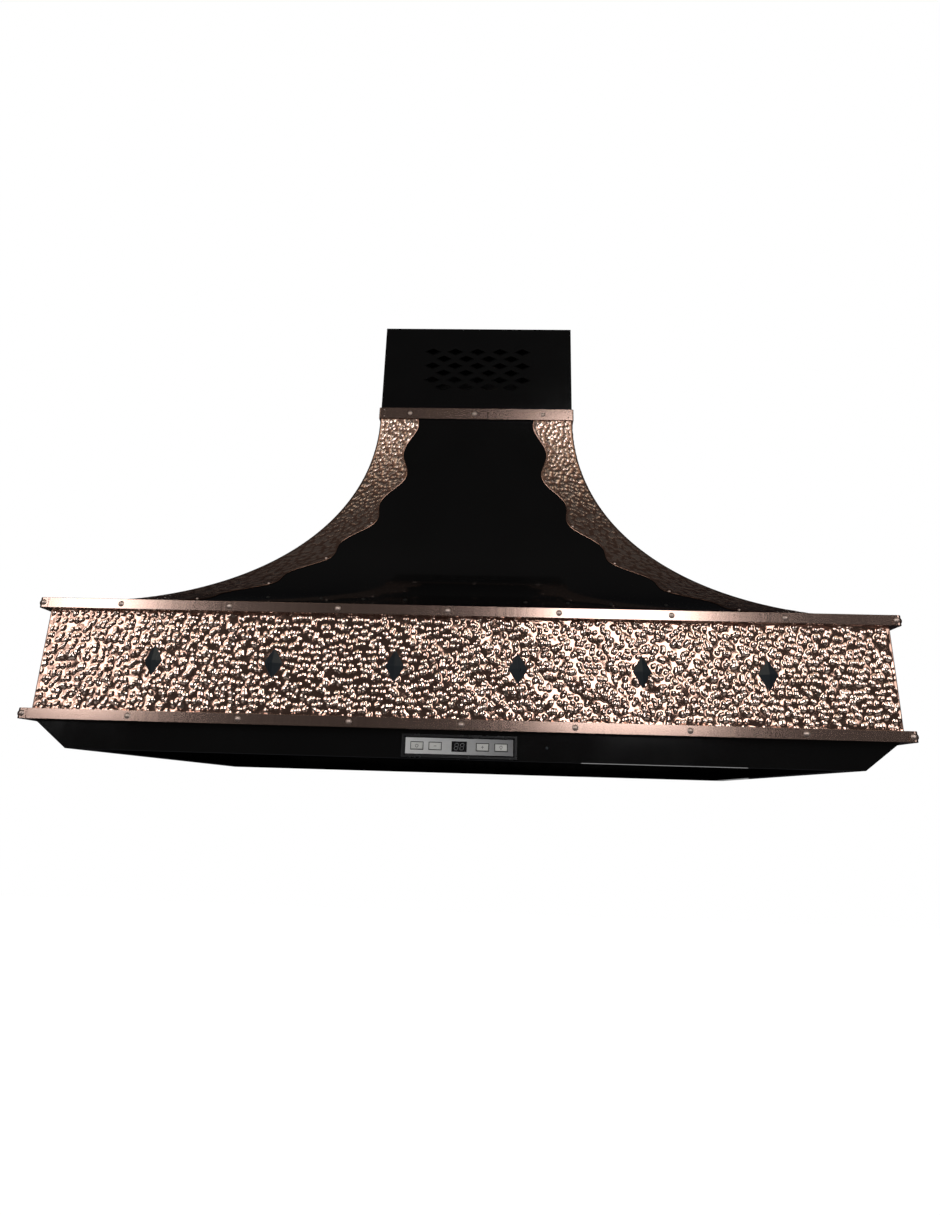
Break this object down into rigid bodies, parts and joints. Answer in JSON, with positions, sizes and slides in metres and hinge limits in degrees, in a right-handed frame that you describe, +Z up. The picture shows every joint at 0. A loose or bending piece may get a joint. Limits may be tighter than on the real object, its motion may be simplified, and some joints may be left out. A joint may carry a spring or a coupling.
{
  "type": "island range hood",
  "caption": "Ceiling-hung island range hood: flared black steel bell, hammered copper band and wavy corner trims, riveted copper straps, vented chimney, push-button panel and baffle filters.",
  "frame": {"origin": "centre of the bottom edge of the skirt, level with the lowest point of the hood", "axes": "+Z up, the control panel faces -Y, +X to the right of somebody facing the control panel"},
  "size_m": [1.5304, 1.0732, 1.03],
  "materials": {
    "black_enamel": "gloss black baked enamel",
    "hammered_copper": "hand-hammered copper, antiqued, clear lacquer",
    "strap_copper": "satin brushed copper",
    "rivet_copper": "polished copper",
    "stud_black": "gloss black",
    "screw_black": "satin black",
    "frame_steel": "zinc plated",
    "duct_steel": "galvanised",
    "duct_black": "satin black inside the vents",
    "filter_steel": "stainless, brushed",
    "lamp_ring": "satin stainless",
    "lamp_glass": "frosted",
    "bezel_black": "satin black moulding",
    "panel_silver": "brushed, grey",
    "display_dark": "smoked window",
    "board_green": "glass-fibre circuit board",
    "button_silver": "silver moulding",
    "wheel_black": "moulded",
    "motor_grey": "cast",
    "shaft_steel": "ground"
  },
  "bodies": {
    "hood": {"air_diverter": "duct_black", "band_panel_back": "hammered_copper", "band_panel_front": "hammered_copper", "band_panel_left": "hammered_copper", "band_panel_right": "hammered_copper", "bell_base_screws": "screw_black", "bell_panel_back": "black_enamel", "bell_panel_front": "black_enamel", "bell_panel_left": "black_enamel", "bell_panel_right": "black_enamel", "blower_housing": "duct_steel", "blower_motor": "motor_grey", "blower_rails": "frame_steel", "body_frame": "frame_steel", "ceiling_plate": "frame_steel", "chimney_cover_back": "black_enamel", "chimney_cover_front": "black_enamel", "collar_backing_frame": "frame_steel", "collar_trim": "strap_copper", "control_bezel": "bezel_black", "control_board": "board_green", "control_plate": "panel_silver", "corner_trim_back_left": "hammered_copper", "corner_trim_back_right": "hammered_copper", "corner_trim_front_left": "hammered_copper", "corner_trim_front_right": "hammered_copper", "damper_rod": "shaft_steel", "diamond_studs": "stud_black", "display_window": "display_dark", "duct_collar": "duct_steel", "duct_pipe": "duct_steel", "hanger_uprights": "frame_steel", "junction_box": "duct_steel", "lamp_housing_back_left": "lamp_ring", "lamp_housing_back_right": "lamp_ring", "lamp_housing_front_left": "lamp_ring", "lamp_housing_front_right": "lamp_ring", "lamp_lens_back_left": "lamp_glass", "lamp_lens_back_right": "lamp_glass", "lamp_lens_front_left": "lamp_glass", "lamp_lens_front_right": "lamp_glass", "liner_pan": "black_enamel", "liner_screws": "screw_black", "lower_strap": "strap_copper", "motor_bracket": "duct_steel", "skirt": "black_enamel", "strap_rivets": "rivet_copper", "trim_nails": "rivet_copper", "upper_strap": "strap_copper"},
    "blower_rotor": {"blower_wheel": "wheel_black", "motor_shaft": "shaft_steel"},
    "left_flap": {"damper_flap_left": "duct_steel"},
    "right_flap": {"damper_flap_right": "duct_steel"},
    "left_filter": {"baffle_filter_left": "filter_steel"},
    "centre_filter": {"baffle_filter_centre": "filter_steel"},
    "right_filter": {"baffle_filter_right": "filter_steel"},
    "power_key": {"power_button": "button_silver"},
    "fan_minus_key": {"fan_minus_button": "button_silver"},
    "fan_plus_key": {"fan_plus_button": "button_silver"},
    "light_key": {"light_button": "button_silver"}
  },
  "joints": [
    {"name": "blower_spin", "type": "hinge", "parent": "hood", "child": "blower_rotor", "pos_m": [0, -0.065, 0.4], "axis": [1, 0, 0], "continuous": true},
    {"name": "left_flap_swing", "type": "hinge", "parent": "hood", "child": "left_flap", "pos_m": [0, 0, 0.612], "axis": [0, 1, 0], "range_deg": [0, 75]},
    {"name": "right_flap_swing", "type": "hinge", "parent": "hood", "child": "right_flap", "pos_m": [0, 0, 0.612], "axis": [0, -1, 0], "range_deg": [0, 75]},
    {"name": "left_filter_slide", "type": "slide", "parent": "hood", "child": "left_filter", "axis": [0, 1, 0], "range_m": [0, 0.0125]},
    {"name": "centre_filter_slide", "type": "slide", "parent": "hood", "child": "centre_filter", "axis": [0, 1, 0], "range_m": [0, 0.0125]},
    {"name": "right_filter_slide", "type": "slide", "parent": "hood", "child": "right_filter", "axis": [0, 1, 0], "range_m": [0, 0.0125]},
    {"name": "power_press", "type": "slide", "parent": "hood", "child": "power_key", "axis": [0, 1, 0], "range_m": [0, 0.0012], "stiffness_N_per_m": 400, "springref_m": -0.003},
    {"name": "fan_minus_press", "type": "slide", "parent": "hood", "child": "fan_minus_key", "axis": [0, 1, 0], "range_m": [0, 0.0012], "stiffness_N_per_m": 400, "springref_m": -0.003},
    {"name": "fan_plus_press", "type": "slide", "parent": "hood", "child": "fan_plus_key", "axis": [0, 1, 0], "range_m": [0, 0.0012], "stiffness_N_per_m": 400, "springref_m": -0.003},
    {"name": "light_press", "type": "slide", "parent": "hood", "child": "light_key", "axis": [0, 1, 0], "range_m": [0, 0.0012], "stiffness_N_per_m": 400, "springref_m": -0.003}
  ]
}
